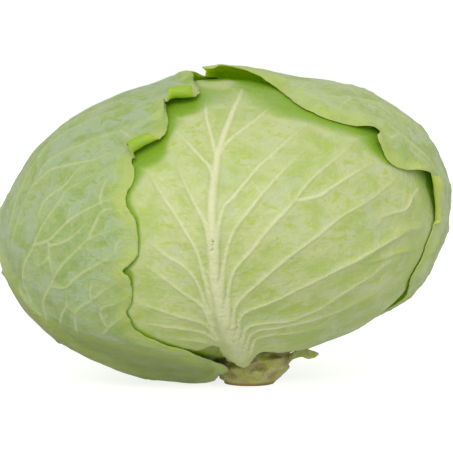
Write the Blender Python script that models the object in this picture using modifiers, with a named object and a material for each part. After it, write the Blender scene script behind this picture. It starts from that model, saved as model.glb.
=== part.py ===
"""A flat-headed green cabbage, trimmed for sale: heart, stem and the leaves wrapped round them.

Metres, +Z up, the front towards -Y.
The origin is the centre of the cut face under the stem, on which the head stands.
"""
import bpy
import numpy as np
from math import cos, pi, radians, sin
from mathutils.geometry import delaunay_2d_cdt

NAME = "cabbage_head"

# The head: a squashed ball, leaning a little to its left and to the back
HALF_WIDTH = 0.1120
HALF_DEPTH = 0.1080
HALF_HEIGHT = 0.0750
HEAD_CENTRE = np.array([-0.0130, 0.0120, 0.0778])
LEAN_LEFT = radians(8.5)
LEAN_BACK = radians(9.0)

# How full the front outline is round the head: degrees from +X, share of the plain ball
OUTLINE_FULLNESS = (
    (-180, 1.004), (-165, 0.998), (-150, 1.006), (-125, 1.022), (-105, 1.025), (-85, 0.990),
    (-64, 0.972), (-50, 0.952), (-40, 0.988), (-28, 1.036), (-14, 1.008), (0, 1.004),
    (20, 1.016), (34, 1.020), (50, 0.982), (64, 0.952), (80, 0.960), (100, 0.985),
    (116, 1.022), (130, 1.008), (146, 1.046), (157, 1.030), (168, 1.006), (180, 1.004),
)

# The leaves: each sheet lies one layer step inside the one that wraps it
BLADE_THICKNESS = 0.0008
LAYER_STEP = 0.0016
RIB_HEIGHT = 0.0008
RIB_HALF_WIDTH = 0.0032
THICKEST = 0.0045
SPACING = 0.0095
EDGE_SPACING = 0.0060
WIDE_SPACING = 0.0115
WAVES = 11
MAP_SCALE = 0.100

# The stem: a short stump below, and a core that tapers upwards inside the heart
CUT_RADIUS = 0.0130
STUMP_RADIUS = 0.0200
CORE_TOP = 0.072
CORE_CLEARANCE = 0.0004

# Where the front view was taken from, to place what can be seen in it
VIEW_DISTANCE = 1.2
VIEW_HEIGHT_ANGLE = radians(5.0)
VIEW_PIXELS = 2434.0
VIEW_CENTRE = (222.7, 222.5)
SIGHT_STEPS = 6

RADII = np.array([HALF_WIDTH, HALF_DEPTH, HALF_HEIGHT])


def head_axes():
    """The head's own right, back and up directions, as the columns of a matrix."""
    c, s = cos(LEAN_LEFT), sin(LEAN_LEFT)
    turn_left = np.array([[c, 0, -s], [0, 1, 0], [s, 0, c]])
    c, s = cos(LEAN_BACK), sin(LEAN_BACK)
    turn_back = np.array([[1, 0, 0], [0, c, s], [0, -s, c]])
    return turn_left @ turn_back


AXES = head_axes()
VIEW_RIGHT = np.array([1.0, 0, 0])
VIEW_BACK = np.array([0, -cos(VIEW_HEIGHT_ANGLE), sin(VIEW_HEIGHT_ANGLE)])
VIEW_UP = np.array([0, sin(VIEW_HEIGHT_ANGLE), cos(VIEW_HEIGHT_ANGLE)])


def unit(vectors):
    """Vectors scaled to length one."""
    vectors = np.asarray(vectors, float)
    return vectors / np.linalg.norm(vectors, axis=-1, keepdims=True)


def at(azimuth, latitude):
    """Direction on the head: degrees round from the front to the right, degrees up."""
    a, t = radians(azimuth), radians(latitude)
    return np.array([cos(t) * sin(a), -cos(t) * cos(a), sin(t)])


def fullness(directions):
    """Share by which the head swells or sinks along each direction."""
    angles = np.degrees(np.arctan2(directions[..., 2] * HALF_HEIGHT, directions[..., 0] * HALF_WIDTH))
    angles = (angles + np.degrees(LEAN_LEFT) + 180) % 360 - 180
    known = np.array(OUTLINE_FULLNESS)
    share = np.mean([np.interp(angles + turn, known[:, 0], known[:, 1], period=360)
                     for turn in range(-15, 16, 5)], axis=0)
    aside = np.clip(np.hypot(directions[..., 0], directions[..., 2]), 0, 1) ** 2
    return 1 + (share - 1) * aside


def on_head(directions, depth):
    """Points at a depth inside the head's skin, and the outward normals there."""
    normals = unit(directions / RADII) @ AXES.T
    skin = (directions * RADII * fullness(directions)[..., None]) @ AXES.T + HEAD_CENTRE
    return skin - normals * np.asarray(depth)[..., None], normals


def along_view(across, down):
    """Direction at which the line of sight through a place in the front view meets the plain ball."""
    ray = VIEW_RIGHT * (across - VIEW_CENTRE[0]) / VIEW_PIXELS
    ray = ray + VIEW_UP * (VIEW_CENTRE[1] - down) / VIEW_PIXELS - VIEW_BACK
    start = AXES.T @ (VIEW_BACK * VIEW_DISTANCE) / RADII
    ray = AXES.T @ ray / RADII
    half = start @ ray / (ray @ ray)
    inside_ball = half * half - (start @ start - 1) / (ray @ ray)
    return unit(start + ray * (-half - max(inside_ball, 0.0) ** 0.5))


def seen(across, down, depth=0.0):
    """Direction of a place in the front view, in its pixels, on the skin or at a depth under it."""
    goal = np.array([across, down], float)
    aim = goal.copy()
    for _ in range(SIGHT_STEPS):
        place, _ = on_head(along_view(*aim)[None, :], np.array([depth]))
        away = place[0] - HEAD_CENTRE - VIEW_BACK * VIEW_DISTANCE
        scale = VIEW_PIXELS / -(away @ VIEW_BACK)
        shown = np.array([VIEW_CENTRE[0] + away @ VIEW_RIGHT * scale, VIEW_CENTRE[1] - away @ VIEW_UP * scale])
        aim += 0.8 * (goal - shown)
    return along_view(*aim)


def along(path, shares):
    """Directions at shares of the length of a path on the head."""
    path = unit(path)
    steps = np.linalg.norm(np.diff(path, axis=0), axis=1)
    places = np.concatenate([[0], np.cumsum(steps)]) / steps.sum()
    return unit(np.stack([np.interp(shares, places, path[:, i]) for i in range(3)], axis=-1))


def smooth_step(value, low, high):
    """0 below low, 1 above high, smooth between."""
    t = np.clip((value - low) / (high - low), 0, 1)
    return t * t * (3 - 2 * t)


class Chart:
    """A flat map of the head round one leaf, in metres, on which areas keep their share."""

    def __init__(self, outline):
        self.middle = unit(np.mean(outline, axis=0))
        pole = [0, 0, 1.0] if abs(self.middle[2]) < 0.9 else [0, 1.0, 0]
        side = unit(np.cross(pole, self.middle))
        self.flat = np.stack([side, np.cross(self.middle, side)], axis=-1)

    def flatten(self, directions):
        directions = np.asarray(directions, float)
        reach = np.sqrt(2 / np.maximum(1 + directions @ self.middle, 1e-3))
        return (directions @ self.flat) * reach[..., None] * MAP_SCALE

    def lift(self, points):
        points = np.asarray(points, float) / MAP_SCALE
        far = (points * points).sum(-1)[..., None]
        return unit(self.middle * (1 - far / 2) + points @ self.flat.T * np.sqrt(np.maximum(1 - far / 4, 0)))


def resample(path, spacing):
    """The same path with its corners kept and no step longer than the spacing."""
    out = []
    for a, b in zip(path[:-1], path[1:]):
        count = max(1, int(np.ceil(np.linalg.norm(b - a) / spacing)))
        out += [a + (b - a) * k / count for k in range(count)]
    return np.array(out + [path[-1]])


def smooth_loop(loop, spacing):
    """A closed path that runs smoothly through its corners, in steps near the spacing."""
    out = []
    for k in range(len(loop)):
        before, a, b, after = (loop[(k + turn) % len(loop)] for turn in (-1, 0, 1, 2))
        length = np.linalg.norm(b - a)
        leave = (b - before) * length / (length + np.linalg.norm(a - before))
        arrive = (after - a) * length / (length + np.linalg.norm(after - b))
        for t in np.arange(0, 1, 1 / max(1, round(length / spacing))):
            out.append(a * (1 - 3 * t ** 2 + 2 * t ** 3) + b * (3 * t ** 2 - 2 * t ** 3)
                       + leave * (t - 2 * t ** 2 + t ** 3) + arrive * (t ** 3 - t ** 2))
    return np.array(out)


def nearest_on(points, path):
    """Distance from points to a flat path, and how far along it the nearest place lies."""
    steps = np.linalg.norm(np.diff(path, axis=0), axis=1)
    places = np.concatenate([[0], np.cumsum(steps)]) / steps.sum()
    near, share = np.full(len(points), 9.0), np.zeros(len(points))
    for k, (a, b) in enumerate(zip(path[:-1], path[1:])):
        run = b - a
        t = np.clip(((points - a) @ run) / (run @ run + 1e-15), 0, 1)
        far = np.linalg.norm(points - a - t[:, None] * run, axis=1)
        closer = far < near
        near = np.where(closer, far, near)
        share = np.where(closer, places[k] + t * (places[k + 1] - places[k]), share)
    return near, share


def inside(points, outline):
    """How far inside a closed flat outline each point lies, negative outside."""
    loop = np.concatenate([outline, outline[:1]])
    crossed = np.zeros(len(points), int)
    for a, b in zip(loop[:-1], loop[1:]):
        spans = (a[1] > points[:, 1]) != (b[1] > points[:, 1])
        cut = a[0] + (points[:, 1] - a[1]) * (b[0] - a[0]) / (b[1] - a[1] + 1e-15)
        crossed += spans & (points[:, 0] < cut)
    return np.where(crossed % 2 == 1, 1, -1) * nearest_on(points, loop)[0]


def rib_height(points, ribs):
    """Height of the ribs over a leaf's flat map; each rib is (path, half width, height)."""
    height = np.zeros(len(points))
    for path, half_width, tall in ribs:
        near, share = nearest_on(points, path)
        width = half_width * (1 - 0.75 * share)
        bump = np.clip(1 - near / width, 0, 1) * tall * (1 - 0.8 * share)
        height = np.maximum(height, bump)
    return height


def make_material(name, colour, roughness):
    """A plain Principled material."""
    material = bpy.data.materials.new(name)
    material.use_nodes = True
    shader = material.node_tree.nodes["Principled BSDF"]
    shader.inputs["Base Color"].default_value = (*colour, 1)
    shader.inputs["Roughness"].default_value = roughness
    material.diffuse_color = (*colour, 1)
    return material


def add_object(name, points, faces, collection, material=None):
    """A mesh object from points and faces, smooth where it is round."""
    mesh = bpy.data.meshes.new(name)
    mesh.from_pydata([tuple(p) for p in points], [], faces)
    mesh.validate()
    mesh.shade_smooth()
    mesh.set_sharp_from_angle(angle=radians(50))
    piece = bpy.data.objects.new(name, mesh)
    collection.objects.link(piece)
    if material:
        mesh.materials.append(material)
    return piece


def add_leaf(name, layer, outline, ribs, covers, colour, lifts=(), wave=0.0, spacing=SPACING):
    """A wrapped leaf: an open sheet on the head, thickened outwards by its blade and its ribs.

    ribs lists (directions, half width, height), the midrib first.
    covers lists the outlines of the leaves that wrap this one: it lies smooth beneath them.
    """
    chart = Chart(outline)
    edge = smooth_loop(chart.flatten(outline), EDGE_SPACING)
    flat_ribs = [(chart.flatten(path), half, tall) for path, half, tall in ribs]
    chosen, links = list(edge), [(k, (k + 1) % len(edge)) for k in range(len(edge))]
    for path, half, tall in flat_ribs:
        ridge = resample(path, spacing)
        shares = np.linspace(0, 1, len(ridge))
        run = np.gradient(ridge, axis=0)
        aside = np.stack([-run[:, 1], run[:, 0]], axis=1)
        aside /= np.linalg.norm(aside, axis=1, keepdims=True)
        reach = half * (1 - 0.75 * shares)[:, None]
        within = inside(ridge, edge) > 0.002
        others = np.array(chosen)
        clear = np.linalg.norm(ridge[:, None] - others, axis=2).min(1) > 0.0035
        last = None
        for k in range(len(ridge)):
            if not (within[k] and clear[k]):
                last = None
                continue
            chosen.append(ridge[k])
            if last is not None:
                links.append((last, len(chosen) - 1))
            last = len(chosen) - 1
        for flank in (ridge + aside * reach, ridge - aside * reach):
            keep = inside(flank, edge) > 0.0025
            keep &= np.linalg.norm(flank[:, None] - np.array(chosen), axis=2).min(1) > 0.0022
            chosen += list(flank[keep])
    low, high = edge.min(0), edge.max(0)
    grid = [(low[0] + (i + 0.5 * (j % 2)) * spacing, low[1] + j * spacing * 0.866)
            for j in range(int((high[1] - low[1]) / spacing / 0.866) + 1)
            for i in range(int((high[0] - low[0]) / spacing) + 1)]
    grid = np.array(grid)
    grid = grid[inside(grid, edge) > spacing * 0.5]
    grid = grid[np.linalg.norm(grid[:, None] - np.array(chosen), axis=2).min(1) > spacing * 0.58]
    chosen += list(grid)
    result = delaunay_2d_cdt([tuple(p) for p in chosen], links, [], 1, 1e-6)
    points, faces = np.array([tuple(p) for p in result[0]]), result[2]
    directions = chart.lift(points)

    free = np.ones(len(points))
    for other in covers:
        above = Chart(other)
        far = inside(above.flatten(directions), smooth_loop(above.flatten(other), SPACING))
        free = free * smooth_step(-far, 0.003, 0.012)
    thickness = BLADE_THICKNESS + rib_height(points, flat_ribs) * free
    margin = 1 - smooth_step(inside(points, edge), 0.0, 0.022)
    round_edge = nearest_on(points, np.concatenate([edge, edge[:1]]))[1]
    raised = wave * margin * (0.5 + 0.5 * np.sin(round_edge * WAVES * 2 * pi)) * free
    skin, normals = on_head(directions, np.zeros(len(points)))
    for spot, size, height in lifts:
        centre, _ = on_head(spot[None, :], np.zeros(1))
        near = np.linalg.norm(skin - centre, axis=-1) / size
        raised = raised + height * np.exp(-near * near)
    place = skin - normals * (layer * LAYER_STEP + BLADE_THICKNESS - raised)[:, None]
    place[:, 2] = np.maximum(place[:, 2], max(layer - 1, 0) * LAYER_STEP + thickness)

    piece = add_object(name, place, [tuple(f) for f in faces], parts, make_material(name, colour, 0.45))
    group = piece.vertex_groups.new(name="thickness")
    for index, value in enumerate(thickness):
        group.add([index], float(value / THICKEST), "REPLACE")
    solid = piece.modifiers.new("thicken", "SOLIDIFY")
    solid.thickness = THICKEST
    solid.offset = 1.0
    solid.use_even_offset = False
    solid.vertex_group = group.name
    return piece


def side_ribs(midrib, edge, starts, reach):
    """Side ribs from shares up a midrib, sweeping up towards one edge of the leaf."""
    ribs = []
    for start in starts:
        foot = along(midrib, start)
        end = along(edge, min(start * 0.62 + 0.34, 1))
        bend = unit(foot * 0.55 + end * 0.45 + (along(midrib, start + 0.04) - foot) * 0.5)
        path = [foot, bend, unit(foot * (1 - reach) + end * reach)]
        ribs.append((path, RIB_HALF_WIDTH, RIB_HEIGHT))
    return ribs


def traced(*paths):
    """Side ribs that can be seen in the front view."""
    return [([seen(*place) for place in path], RIB_HALF_WIDTH, RIB_HEIGHT) for path in paths]


for leftover in list(bpy.data.objects):
    bpy.data.objects.remove(leftover)
parts = bpy.data.collections.new(NAME)
tools = bpy.data.collections.new("cutters")
bpy.context.scene.collection.children.link(parts)
bpy.context.scene.collection.children.link(tools)


# Edges and midribs of the leaves, from stem to tip
RIGHT_LOW = [at(138, -76.5), at(126, -64), at(106, -50), at(86, -34), seen(427, 263), seen(436, 240),
             seen(442, 226), seen(438, 215),
             seen(431, 198), seen(424, 184), seen(429, 174), seen(414, 170), seen(399, 165),
             seen(384, 149), seen(376, 138), seen(378, 130), seen(361, 125), seen(330, 115),
             seen(309, 106), seen(298, 99), seen(283, 88), seen(272, 82), seen(250, 76), seen(224, 73),
             at(9, 68), at(0, 69.5), at(0, 74), at(8, 81)]
RIGHT_MIDRIB = [at(150, -76.5), at(138, -55), at(130, -25), at(130, 5), at(132, 35), at(140, 60),
                at(180, 78)]
RIGHT_HIGH = [at(164, -77), at(176, -64), at(188, -40), at(192, -5), at(197, 25), at(205, 50),
              at(212, 64), at(203, 74), at(186, 81)]

LEFT_HIGH = [at(-50, -80.5), at(-27, -79.5), at(-17, -77), seen(224, 369), seen(187, 357), seen(158, 347),
             seen(135, 335), seen(125, 316), seen(130, 303), seen(129, 277), seen(121, 274), seen(135, 258), seen(138, 240),
             seen(134, 219), seen(124, 202), seen(128, 184), seen(134, 172), seen(130, 150),
             seen(139, 137), seen(153, 140), seen(165, 131), seen(168, 114), seen(162, 98),
             seen(181, 97), seen(193, 97), seen(198, 84), at(-4, 69), at(-7, 75), at(2, 81), at(60, 85),
             at(140, 82)]
LEFT_MIDRIB = [at(-76, -80), at(-72, -66), at(-70, -52), at(-71, -35), at(-73, -13), at(-82, 8),
               at(-95, 30), at(-115, 52), at(-150, 70)]
LEFT_LOW = [at(-110, -79.5), at(-140, -78), at(-160, -66), at(-172, -42), at(-180, -15), at(-184, 12),
            at(-184, 38), at(-184, 58), at(-184, 68)]

FRONT_LOW = [seen(233, 370), seen(222, 361), seen(216, 353), seen(195, 360), at(-38, -60), at(-55, -46),
             at(-64, -20), at(-64, 8), at(-58, 34), at(-45, 56), at(-24, 75), at(0, 83)]
FRONT_MIDRIB = [seen(238, 369), seen(236, 352), seen(226, 325), seen(217, 294), seen(213, 250),
                seen(212, 200), seen(217, 148), seen(226, 127), seen(236, 100), seen(242, 84)]
FRONT_DEPTH = 2 * LAYER_STEP
FRONT_HIGH = [seen(243, 367), seen(258, 352), seen(300, 345, FRONT_DEPTH), seen(330, 337, FRONT_DEPTH),
              seen(362, 324, FRONT_DEPTH), seen(388, 310, FRONT_DEPTH), seen(404, 296, FRONT_DEPTH),
              seen(412, 284, FRONT_DEPTH), seen(418, 270, FRONT_DEPTH), seen(424, 255, FRONT_DEPTH),
              seen(433, 242, FRONT_DEPTH), seen(432, 224), seen(433, 219), at(76, -2), at(70, 14), at(62, 32),
              at(52, 52), at(42, 72)]

UNDER_LOW = [at(-12, -76), at(-32, -66), at(-44, -48), at(-46, -22), at(-44, 4), at(-34, 26), at(-10, 40)]
UNDER_HIGH = [at(38, -76), at(72, -68), at(104, -56), at(116, -34), at(112, -10), at(98, 8), at(72, 25),
              at(40, 40)]
UNDER_MIDRIB = [at(14, -76), at(20, -60), at(27, -33), at(31, -5), at(30, 20)]

SIDE_LOW = [at(74, -76), at(58, -64), at(46, -42), at(44, -15), at(48, 12), at(60, 34)]
SIDE_MIDRIB = [at(92, -76), at(94, -50), at(95, -20), at(95, 10), at(95, 30)]
SIDE_HIGH = [at(108, -76), at(130, -62), at(146, -42), at(150, -15), at(146, 12), at(130, 34)]

BACK_LOW = [at(168, -77), at(158, -66), at(154, -42), at(153, -15), at(158, 8), at(170, 28)]
BACK_MIDRIB = [at(188, -76.5), at(192, -52), at(193, -22), at(193, 8), at(193, 26)]
BACK_HIGH = [at(208, -77), at(226, -66), at(236, -42), at(238, -15), at(230, 8), at(214, 28)]

RIGHT_OUTLINE = np.array(RIGHT_LOW + RIGHT_HIGH[::-1])
LEFT_OUTLINE = np.array(LEFT_LOW[::-1] + LEFT_HIGH)
FRONT_OUTLINE = np.array(FRONT_LOW[::-1] + FRONT_HIGH)
UNDER_OUTLINE = np.array(UNDER_LOW[::-1] + UNDER_HIGH)
SIDE_OUTLINE = np.array(SIDE_LOW[::-1] + SIDE_HIGH)
BACK_OUTLINE = np.array(BACK_LOW[::-1] + BACK_HIGH)

# The wrapping leaves, outermost first
right_ribs = [(RIGHT_MIDRIB, 0.0105, 0.0020)]
right_ribs += side_ribs(RIGHT_MIDRIB, RIGHT_LOW, (0.10, 0.24, 0.38, 0.52, 0.66), 0.86)
right_ribs += side_ribs(RIGHT_MIDRIB, RIGHT_HIGH, (0.16, 0.34, 0.52), 0.80)
add_leaf("right_leaf", 0, RIGHT_OUTLINE, right_ribs, (), (0.45, 0.54, 0.24),
         lifts=((seen(236, 73), 0.020, 0.0032), (at(4, 71), 0.008, 0.0012),
                (seen(426, 177), 0.010, 0.0022), (seen(374, 133), 0.008, 0.0014)), wave=0.0006)

left_ribs = [(LEFT_MIDRIB, 0.0105, 0.0020)]
left_ribs += traced(
    ((23, 268), (32, 247), (38, 233), (48, 215), (61, 194), (81, 180)),
    ((32, 247), (54, 235), (81, 212), (123, 192)),
    ((50, 287), (61, 264), (86, 241), (129, 222)),
    ((51, 288), (73, 281), (96, 266), (114, 256)),
    ((75, 330), (80, 308), (101, 294), (123, 280)),
    ((55, 165), (81, 161), (101, 154), (133, 139)),
    ((58, 151), (107, 134), (130, 121), (160, 109)),
)
left_ribs += side_ribs(LEFT_MIDRIB, LEFT_LOW, (0.22, 0.42, 0.60), 0.84)
add_leaf("left_leaf", 1, LEFT_OUTLINE, left_ribs, (RIGHT_OUTLINE,), (0.36, 0.47, 0.19),
         lifts=((seen(143, 139), 0.011, 0.0030), (seen(178, 96), 0.012, 0.0034), (at(-16, 76), 0.010, 0.0028),
                (seen(125, 272), 0.008, 0.0012), (at(-50, -77), 0.013, 0.0026),
                (at(-130, -68), 0.034, 0.0042)), wave=0.0007)

front_ribs = [(FRONT_MIDRIB, 0.0100, 0.0030)]
front_ribs += traced(
    ((209, 163), (197, 149), (183, 135), (171, 121)),
    ((203, 220), (184, 231), (165, 201), (153, 181)),
    ((197, 286), (184, 270), (165, 258), (147, 242)),
    ((202, 311), (184, 298), (157, 278), (137, 265)),
    ((210, 339), (184, 334), (157, 330), (137, 330)),
    ((217, 235), (224, 207), (248, 177), (286, 140), (306, 123)),
    ((229, 294), (235, 272), (271, 232), (297, 201), (355, 140)),
    ((236, 314), (264, 283), (291, 260), (339, 225), (371, 202)),
    ((241, 326), (277, 306), (337, 275), (389, 245), (428, 229)),
    ((247, 341), (257, 330), (318, 317), (372, 282), (399, 261)),
    ((217, 148), (207, 115), (202, 88)),
    ((225, 143), (245, 125), (268, 105)),
)
add_leaf("front_leaf", 2, FRONT_OUTLINE, front_ribs, (RIGHT_OUTLINE, LEFT_OUTLINE), (0.55, 0.62, 0.25),
         wave=0.0008)

ABOVE = (RIGHT_OUTLINE, LEFT_OUTLINE, FRONT_OUTLINE)
add_leaf("under_leaf", 3, UNDER_OUTLINE, [(UNDER_MIDRIB, 0.008, 0.0003)], ABOVE, (0.20, 0.24, 0.06),
         spacing=WIDE_SPACING)
add_leaf("back_leaf", 3, BACK_OUTLINE, [(BACK_MIDRIB, 0.008, 0.0006)], ABOVE, (0.36, 0.45, 0.18),
         spacing=WIDE_SPACING)
add_leaf("side_leaf", 4, SIDE_OUTLINE, [(SIDE_MIDRIB, 0.008, 0.0006)], ABOVE + (UNDER_OUTLINE,),
         (0.42, 0.50, 0.20), spacing=WIDE_SPACING)

# A ragged scrap of a leaf stalk that was pulled off beside the stem, standing out to the right
SCRAP = ((0.0218, 0.0128), (0.0226, 0.0150), (0.0268, 0.0178), (0.0300, 0.0166), (0.0336, 0.0152),
         (0.0330, 0.0138), (0.0290, 0.0124), (0.0252, 0.0136))
SCRAP_FRONT = -0.0060
scrap_mesh = [(x, SCRAP_FRONT + 0.25 * (x - SCRAP[0][0]), z) for x, z in SCRAP]
scrap = add_object("torn_stalk", scrap_mesh, [tuple(range(len(SCRAP)))], parts,
                   make_material("torn_stalk", (0.50, 0.46, 0.22), 0.55))
scrap_solid = scrap.modifiers.new("thicken", "SOLIDIFY")
scrap_solid.thickness = 0.0016
scrap_solid.offset = 0.0
rounded = scrap.modifiers.new("rounded", "BEVEL")
rounded.width = 0.0004
rounded.segments = 2

# The stem: rings from the flat cut to the top of the core, round an axis that tips into the head's
AXIS = AXES[:, 2]
STEM_RINGS = (
    # height, radius, share of the head's lean, depth of the knobs, shift to the right
    (0.0000, CUT_RADIUS - 0.0008, 0.0, 0.0, 0.0000),
    (0.0008, CUT_RADIUS, 0.0, 0.2, 0.0002),
    (0.0032, 0.0162, 0.3, 0.8, 0.0010),
    (0.0062, 0.0190, 0.7, 1.0, 0.0026),
    (0.0096, STUMP_RADIUS, 1.0, 0.8, 0.0034),
    (0.0135, 0.0186, 1.0, 0.3, 0.0028),
    (0.0175, 0.0160, 1.0, 0.0, 0.0014),
    (0.0300, 0.0145, 1.0, 0.0, 0.0),
    (0.0500, 0.0105, 1.0, 0.0, 0.0),
    (CORE_TOP - 0.004, 0.0055, 1.0, 0.0, 0.0),
    (CORE_TOP, 0.0026, 1.0, 0.0, 0.0),
)
STEM_SIDES = 28
KNOB_DEPTH = 0.0009


def stem_ring(height, radius, lean, knobs, shift):
    """One ring of the stem, with its leaf scars as shallow knobs."""
    turn = np.arange(STEM_SIDES) * 2 * pi / STEM_SIDES
    up = unit(np.array([0, 0, 1.0]) * (1 - lean) + AXIS * lean)
    right = unit(np.cross([0, 1.0, 0], up))
    back = np.cross(up, right)
    lumps = np.sin(turn * 5 + height * 700) + 0.6 * np.sin(turn * 8 - height * 500)
    reach = radius + knobs * KNOB_DEPTH * (lumps - 1.2)
    centre = np.array([shift, 0, height]) + (AXIS - [0, 0, 1]) * height * lean
    return centre + np.cos(turn)[:, None] * right * reach[:, None] + np.sin(turn)[:, None] * back * reach[:, None]


stem_points = np.concatenate([stem_ring(*ring) for ring in STEM_RINGS])
stem_faces = [tuple(range(STEM_SIDES))[::-1]]
for level in range(len(STEM_RINGS) - 1):
    for side_index in range(STEM_SIDES):
        next_side = (side_index + 1) % STEM_SIDES
        low = level * STEM_SIDES
        stem_faces.append((low + side_index, low + next_side,
                           low + STEM_SIDES + next_side, low + STEM_SIDES + side_index))
top = (len(STEM_RINGS) - 1) * STEM_SIDES
stem_faces.append(tuple(range(top, top + STEM_SIDES)))
add_object("stem", stem_points, stem_faces, parts, make_material("stem", (0.30, 0.26, 0.09), 0.6))

# The heart: the tightly packed inner leaves as one body, bored for the core
HEART_DEPTH = 5.2 * LAYER_STEP
HEART_SIDES, HEART_LEVELS = 32, 20
heart_directions = [at(0, -90)]
for level in range(1, HEART_LEVELS):
    heart_directions += [at(side_index * 360 / HEART_SIDES, -90 + level * 180 / HEART_LEVELS)
                         for side_index in range(HEART_SIDES)]
heart_directions = np.array(heart_directions + [at(0, 90)])
heart_points, _ = on_head(heart_directions, np.full(len(heart_directions), HEART_DEPTH))
heart_points[:, 2] = np.maximum(heart_points[:, 2], 4.2 * LAYER_STEP)
last = len(heart_points) - 1
heart_faces = []
for side_index in range(HEART_SIDES):
    next_side = (side_index + 1) % HEART_SIDES
    heart_faces.append((0, 1 + next_side, 1 + side_index))
    heart_faces.append((last, last - HEART_SIDES + side_index, last - HEART_SIDES + next_side))
    for level in range(HEART_LEVELS - 2):
        low = 1 + level * HEART_SIDES
        heart_faces.append((low + side_index, low + next_side,
                            low + HEART_SIDES + next_side, low + HEART_SIDES + side_index))
heart = add_object("heart", heart_points, heart_faces, parts, make_material("heart", (0.60, 0.62, 0.28), 0.5))

# The bore is the core's own shape, a little wider
bore_points = []
for height, radius, lean, _, shift in STEM_RINGS:
    bore_points.append(stem_ring(height, radius + CORE_CLEARANCE, lean, 0.0, shift))
bore_points = np.concatenate(bore_points)
bore_points[:STEM_SIDES] -= AXIS * 0.004
bore_points[top:] += AXIS * CORE_CLEARANCE
bore = add_object("core_bore", bore_points, stem_faces, tools)
bore.display_type = "WIRE"
bore.hide_render = True
cut = heart.modifiers.new("bore", "BOOLEAN")
cut.operation = "DIFFERENCE"
cut.solver = "EXACT"
cut.object = bore
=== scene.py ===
from math import cos, pi, radians, sin

import bmesh
import bpy
import numpy as np
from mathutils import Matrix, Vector, kdtree, noise
from mathutils.geometry import delaunay_2d_cdt


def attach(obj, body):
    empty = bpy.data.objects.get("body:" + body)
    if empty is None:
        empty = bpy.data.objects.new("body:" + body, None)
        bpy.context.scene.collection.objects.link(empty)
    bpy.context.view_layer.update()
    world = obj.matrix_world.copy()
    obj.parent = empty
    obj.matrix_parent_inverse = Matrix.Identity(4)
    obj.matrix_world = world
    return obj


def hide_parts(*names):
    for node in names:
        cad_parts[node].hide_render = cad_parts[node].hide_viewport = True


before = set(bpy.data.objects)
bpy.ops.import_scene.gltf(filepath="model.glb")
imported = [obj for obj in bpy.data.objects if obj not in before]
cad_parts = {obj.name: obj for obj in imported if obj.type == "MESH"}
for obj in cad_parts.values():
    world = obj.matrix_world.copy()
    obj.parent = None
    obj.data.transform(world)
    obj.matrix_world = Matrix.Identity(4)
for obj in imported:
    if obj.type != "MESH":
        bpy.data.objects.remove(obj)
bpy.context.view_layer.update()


# The heart: the pale inner leaves, packed so tight that they act as one body.
# Only slivers of it show between the outer leaves, so it keeps its solid and gets a dull leafy finish in a
# dark olive that is painted shade of the deep gaps, not the inner leaves' own pale green.
# The shape of the whole head is set here too, because every leaf follows it.

# The head's half sizes across, along the view and up, and how far it leans
RADII = np.array([0.1120, 0.1080, 0.0750])
CENTRE = np.array([-0.0130, 0.0120, 0.0778])
LEAN_LEFT, LEAN_BACK = radians(8.5), radians(9.0)
# How full the head's outline is, by degrees round the front view from its right by way of the top
FULLNESS = (
    (-180, 1.004), (-165, 0.998), (-150, 1.006), (-125, 1.022), (-105, 1.025), (-85, 0.990),
    (-64, 0.972), (-50, 0.952), (-40, 0.988), (-28, 1.036), (-14, 1.008), (0, 1.004),
    (20, 1.016), (34, 1.020), (50, 0.982), (64, 0.952), (80, 0.960), (100, 0.985),
    (116, 1.022), (130, 1.008), (146, 1.046), (157, 1.030), (168, 1.006), (180, 1.004),
)
AXES = np.array([[cos(LEAN_LEFT), 0, -sin(LEAN_LEFT)], [0, 1, 0], [sin(LEAN_LEFT), 0, cos(LEAN_LEFT)]])
AXES = AXES @ np.array([[1, 0, 0], [0, cos(LEAN_BACK), sin(LEAN_BACK)], [0, -sin(LEAN_BACK), cos(LEAN_BACK)]])


def unit(vectors):
    vectors = np.asarray(vectors, float)
    return vectors / np.linalg.norm(vectors, axis=-1, keepdims=True)


def at(azimuth, latitude):
    """Direction on the head: degrees round from the front to the right, degrees up."""
    a, t = radians(azimuth), radians(latitude)
    return np.array([cos(t) * sin(a), -cos(t) * cos(a), sin(t)])


def on_head(directions, depth):
    """Points at a depth inside the head's skin, and the outward normals there."""
    angles = np.degrees(np.arctan2(directions[..., 2] * RADII[2], directions[..., 0] * RADII[0]))
    angles = (angles + np.degrees(LEAN_LEFT) + 180) % 360 - 180
    known = np.array(FULLNESS)
    share = np.mean([np.interp(angles + turn, known[:, 0], known[:, 1], period=360)
                     for turn in range(-15, 16, 2)], axis=0)
    aside = np.clip(np.hypot(directions[..., 0], directions[..., 2]), 0, 1) ** 2
    swell = 1 + (share - 1) * aside
    normals = unit(directions / RADII) @ AXES.T
    skin = (directions * RADII * swell[..., None]) @ AXES.T + CENTRE
    return skin - normals * np.asarray(depth)[..., None], normals


def new_material(name, roughness):
    """A Principled material, with its nodes, its shader and the piece's own coordinates."""
    material = bpy.data.materials.new(name)
    material.use_nodes = True
    nodes = material.node_tree.nodes
    shader = nodes["Principled BSDF"]
    shader.inputs["Roughness"].default_value = roughness
    return material, nodes, shader, nodes.new("ShaderNodeTexCoord").outputs["Object"]


def link(start, end):
    """Links two sockets of one node tree."""
    start.id_data.links.new(start, end)


def add_node(nodes, kind, inputs, **settings):
    """A node with its settings, and with its inputs linked to a socket or set to a value."""
    node = nodes.new(kind)
    for key, value in settings.items():
        setattr(node, key, value)
    for key, value in inputs.items():
        if isinstance(value, bpy.types.NodeSocket):
            link(value, node.inputs[key])
        else:
            node.inputs[key].default_value = value
    return node


def noise_at(place, scale, detail, distortion=0.0, roughness=0.5):
    """The outputs of a noise texture at a place."""
    inputs = {"Vector": place, "Scale": scale, "Detail": detail, "Distortion": distortion,
              "Roughness": roughness}
    return add_node(place.id_data.nodes, "ShaderNodeTexNoise", inputs).outputs


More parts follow.
